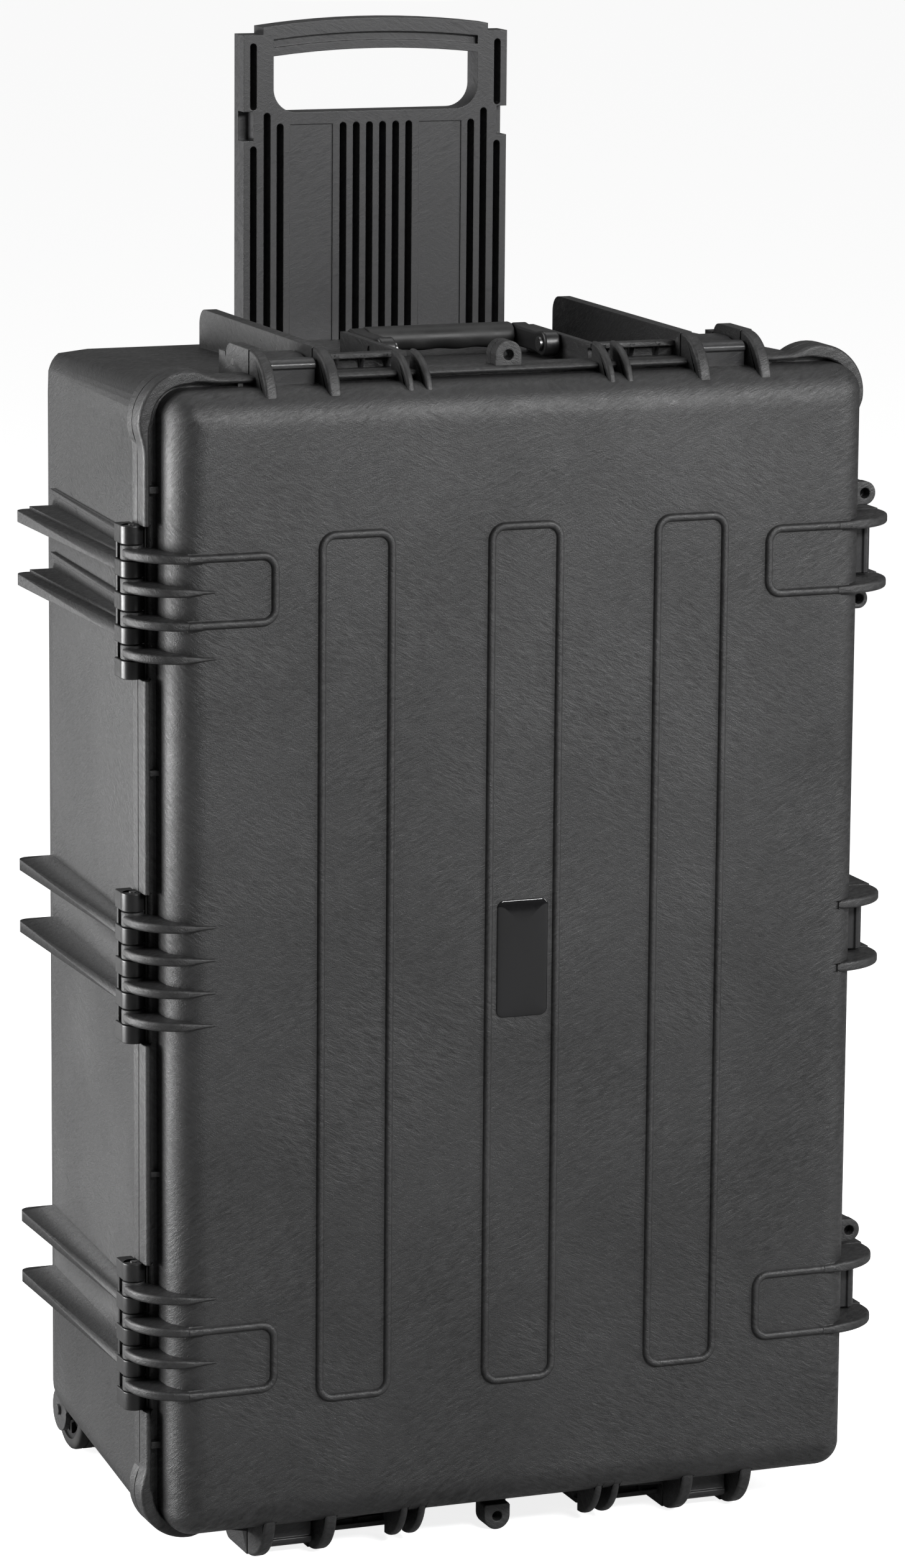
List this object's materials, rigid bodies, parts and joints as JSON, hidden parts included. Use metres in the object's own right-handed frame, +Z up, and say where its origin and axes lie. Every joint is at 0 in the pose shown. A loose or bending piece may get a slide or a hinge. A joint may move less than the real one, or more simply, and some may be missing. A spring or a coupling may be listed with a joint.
{
  "type": "hard equipment case",
  "caption": "Tall ribbed hard-shell case with hinged lid, snap latches, fold-flat carry handles, pull-out trolley handle and two corner wheels, standing on its short side.",
  "frame": {"origin": "centre of the footprint on the floor, with the case standing on its lower ribs", "axes": "+Z up along the pull handle, -Y towards the lid face, +X towards the side latches"},
  "size_m": [0.56, 0.355, 1.064],
  "materials": {
    "shell": "matte, streaky moulded polypropylene",
    "latch": "matte",
    "handle": "satin",
    "gloss_black": "semi-gloss",
    "badge": "high gloss dome",
    "seal": "matte rubber",
    "grip": "smooth rubber",
    "tyre": "matte rubber",
    "steel": "satin"
  },
  "bodies": {
    "base": {"base_shell": "shell", "hinge_block_top": "gloss_black", "hinge_block_middle": "gloss_black", "hinge_block_bottom": "gloss_black", "hinge_pin_top": "steel", "hinge_pin_middle": "steel", "hinge_pin_bottom": "steel", "latch_pins_right": "steel", "latch_pins_top": "steel", "latch_pins_bottom": "steel", "carry_screws_top": "steel", "carry_screws_bottom": "steel", "rear_cover": "shell", "cover_screws": "steel", "axle_left": "steel", "axle_right": "steel", "valve_body": "gloss_black", "valve_cap": "steel", "valve_nut": "gloss_black"},
    "lid": {"lid_shell": "shell", "lid_seal": "seal", "badge": "badge"},
    "latch_right_top": {"latch_right_top": "latch"},
    "latch_right_middle": {"latch_right_middle": "latch"},
    "latch_right_bottom": {"latch_right_bottom": "latch"},
    "latch_top_left": {"latch_top_left": "latch"},
    "latch_top_right": {"latch_top_right": "latch"},
    "latch_bottom_left": {"latch_bottom_left": "latch"},
    "latch_bottom_right": {"latch_bottom_right": "latch"},
    "carry_handle_top": {"carry_frame_top": "gloss_black", "carry_grip_top": "grip"},
    "carry_handle_bottom": {"carry_frame_bottom": "gloss_black", "carry_grip_bottom": "grip"},
    "pull_handle": {"pull_handle": "handle"},
    "wheel_left": {"wheel_left": "gloss_black", "tyre_left": "tyre"},
    "wheel_right": {"wheel_right": "gloss_black", "tyre_right": "tyre"}
  },
  "joints": [
    {"name": "lid_hinge", "type": "hinge", "parent": "base", "child": "lid", "pos_m": [-0.272, -0.1295, 0.43], "axis": [0, 0, -1], "range_deg": [0, 105]},
    {"name": "latch_right_top_turn", "type": "hinge", "parent": "base", "child": "latch_right_top", "pos_m": [0.2726, -0.0965, 0.7015], "axis": [0, 0, 1], "range_deg": [0, 100]},
    {"name": "latch_right_middle_turn", "type": "hinge", "parent": "base", "child": "latch_right_middle", "pos_m": [0.2726, -0.0965, 0.42699], "axis": [0, 0, 1], "range_deg": [0, 100]},
    {"name": "latch_right_bottom_turn", "type": "hinge", "parent": "base", "child": "latch_right_bottom", "pos_m": [0.2726, -0.0965, 0.1585], "axis": [0, 0, 1], "range_deg": [0, 100]},
    {"name": "latch_top_left_turn", "type": "hinge", "parent": "base", "child": "latch_top_left", "pos_m": [-0.16044, -0.0965, 0.8476], "axis": [-1, 0, 0], "range_deg": [0, 100]},
    {"name": "latch_top_right_turn", "type": "hinge", "parent": "base", "child": "latch_top_right", "pos_m": [0.16044, -0.0965, 0.8476], "axis": [-1, 0, 0], "range_deg": [0, 100]},
    {"name": "latch_bottom_left_turn", "type": "hinge", "parent": "base", "child": "latch_bottom_left", "pos_m": [-0.16044, -0.0965, 0.0124], "axis": [1, 0, 0], "range_deg": [0, 100]},
    {"name": "latch_bottom_right_turn", "type": "hinge", "parent": "base", "child": "latch_bottom_right", "pos_m": [0.16044, -0.0965, 0.0124], "axis": [1, 0, 0], "range_deg": [0, 100]},
    {"name": "carry_handle_top_turn", "type": "hinge", "parent": "base", "child": "carry_handle_top", "pos_m": [0, -0.0595, 0.8465], "axis": [1, 0, 0], "range_deg": [0, 90]},
    {"name": "carry_handle_bottom_turn", "type": "hinge", "parent": "base", "child": "carry_handle_bottom", "pos_m": [0, -0.0595, 0.0135], "axis": [-1, 0, 0], "range_deg": [0, 90]},
    {"name": "pull_handle_slide", "type": "slide", "parent": "base", "child": "pull_handle", "axis": [0, 0, 1], "range_m": [-0.2, 0]},
    {"name": "wheel_left_spin", "type": "hinge", "parent": "base", "child": "wheel_left", "pos_m": [-0.22, 0.1465, 0.033], "axis": [1, 0, 0], "continuous": true},
    {"name": "wheel_right_spin", "type": "hinge", "parent": "base", "child": "wheel_right", "pos_m": [0.22, 0.1465, 0.033], "axis": [1, 0, 0], "continuous": true}
  ]
}
